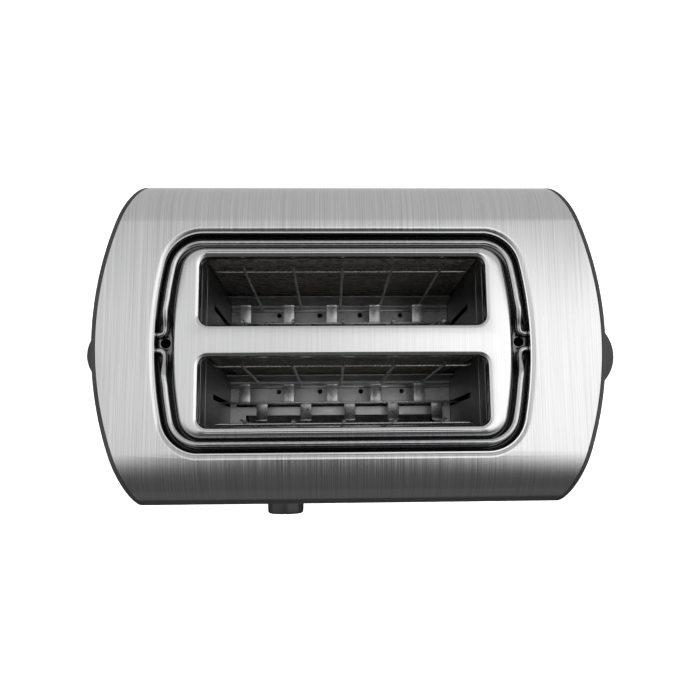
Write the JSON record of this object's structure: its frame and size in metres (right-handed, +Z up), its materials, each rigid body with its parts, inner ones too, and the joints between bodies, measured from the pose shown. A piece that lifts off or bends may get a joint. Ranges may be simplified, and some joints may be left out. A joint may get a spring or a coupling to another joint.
{
  "type": "pop-up toaster",
  "caption": "Long-bodied two-slot pop-up toaster with brushed wrap, bowed black end caps, front browning knob and a fold-up wire warming rack round the slots.",
  "frame": {"origin": "on the surface it stands on, under the middle of its overall footprint", "axes": "+X towards the bread lever (right end), -Y towards the browning knob (front), +Z up"},
  "size_m": [0.2764, 0.1832, 0.19],
  "materials": {
    "brushed_steel": "brushed front to back, satin",
    "polished_steel": "pressed and polished",
    "black_plastic": "fine-textured black",
    "gloss_plastic": "smooth dark grey-black",
    "rubber": "matt",
    "galvanised_steel": "zinc-coated sheet",
    "mica": "dark pressed mica sheet",
    "nichrome": "oxidised resistance ribbon",
    "chrome_wire": "bright chrome-plated wire",
    "spring_steel": "plain",
    "circuit_board": "green resist",
    "magnet_paint": "dark coil wrap and core"
  },
  "bodies": {
    "housing": {"outer_wrap": "brushed_steel", "top_deck": "polished_steel", "knob_ring": "polished_steel", "left_end_cap": "black_plastic", "right_end_cap": "black_plastic", "base_pan": "black_plastic", "button_bezel": "gloss_plastic", "foot_front_left": "rubber", "foot_front_right": "rubber", "foot_rear_left": "rubber", "foot_rear_right": "rubber", "cord_gland": "rubber", "base_screw_front_left": "galvanised_steel", "base_screw_front_right": "galvanised_steel", "base_screw_rear_left": "galvanised_steel", "base_screw_rear_right": "galvanised_steel", "left_end_plate": "galvanised_steel", "right_end_plate": "galvanised_steel", "chassis_floor": "galvanised_steel", "front_heat_shield": "galvanised_steel", "rear_heat_shield": "galvanised_steel", "browning_potentiometer": "galvanised_steel", "front_outer_mica_board": "mica", "front_inner_mica_board": "mica", "rear_inner_mica_board": "mica", "rear_outer_mica_board": "mica", "front_outer_heating_ribbon": "nichrome", "front_inner_heating_ribbon": "nichrome", "rear_inner_heating_ribbon": "nichrome", "rear_outer_heating_ribbon": "nichrome", "front_slot_front_guard": "chrome_wire", "front_slot_rear_guard": "chrome_wire", "rear_slot_front_guard": "chrome_wire", "rear_slot_rear_guard": "chrome_wire", "guide_rod": "chrome_wire", "carriage_spring": "spring_steel", "control_board": "circuit_board", "power_board": "circuit_board", "latch_magnet": "magnet_paint"},
    "carriage": {"front_rib": "galvanised_steel", "rear_rib": "galvanised_steel", "carriage_bridge": "galvanised_steel", "magnet_keeper": "spring_steel", "bread_lever_knob": "black_plastic"},
    "browning_control": {"browning_knob": "gloss_plastic", "knob_shaft": "galvanised_steel"},
    "cancel": {"cancel_button": "gloss_plastic"},
    "defrost": {"defrost_button": "gloss_plastic"},
    "reheat": {"reheat_button": "gloss_plastic"},
    "tray": {"crumb_tray": "galvanised_steel"},
    "rack_lever": {"rack_slide_plate": "galvanised_steel", "rack_lever_knob": "black_plastic"},
    "front_rack": {"front_rack_bail": "chrome_wire", "front_rack_crank": "galvanised_steel"},
    "rear_rack": {"rear_rack_bail": "chrome_wire", "rear_rack_crank": "galvanised_steel"}
  },
  "joints": [
    {"name": "carriage_slide", "type": "slide", "parent": "housing", "child": "carriage", "axis": [0, 0, -1], "range_m": [0, 0.029], "stiffness_N_per_m": 160, "springref_m": -0.02, "deforming": ["carriage_spring"]},
    {"name": "browning_turn", "type": "hinge", "parent": "housing", "child": "browning_control", "pos_m": [-0.0399, -0.0806, 0.086], "axis": [0, 1, 0], "range_deg": [-140, 140]},
    {"name": "cancel_press", "type": "slide", "parent": "housing", "child": "cancel", "axis": [0, 1, 0], "range_m": [0, 0.002], "stiffness_N_per_m": 300, "springref_m": -0.002},
    {"name": "defrost_press", "type": "slide", "parent": "housing", "child": "defrost", "axis": [0, 1, 0], "range_m": [0, 0.002], "stiffness_N_per_m": 300, "springref_m": -0.002},
    {"name": "reheat_press", "type": "slide", "parent": "housing", "child": "reheat", "axis": [0, 1, 0], "range_m": [0, 0.002], "stiffness_N_per_m": 300, "springref_m": -0.002},
    {"name": "tray_slide", "type": "slide", "parent": "housing", "child": "tray", "axis": [0, 1, 0], "range_m": [0, 0.13]},
    {"name": "rack_lift", "type": "slide", "parent": "housing", "child": "rack_lever", "axis": [0, 0, 1], "range_m": [0, 0.0107]},
    {"name": "front_rack_swing", "type": "hinge", "parent": "housing", "child": "front_rack", "pos_m": [-0.005, -0.0029, 0.183], "axis": [1, 0, 0], "range_deg": [-80, 0]},
    {"name": "rear_rack_swing", "type": "hinge", "parent": "housing", "child": "rear_rack", "pos_m": [-0.005, 0.0051, 0.183], "axis": [1, 0, 0], "range_deg": [0, 80]}
  ],
  "couplings": [
    {"joint": "front_rack_swing", "follows": "rack_lift", "rad_per_m": -130.16},
    {"joint": "rear_rack_swing", "follows": "rack_lift", "rad_per_m": 130.16}
  ]
}
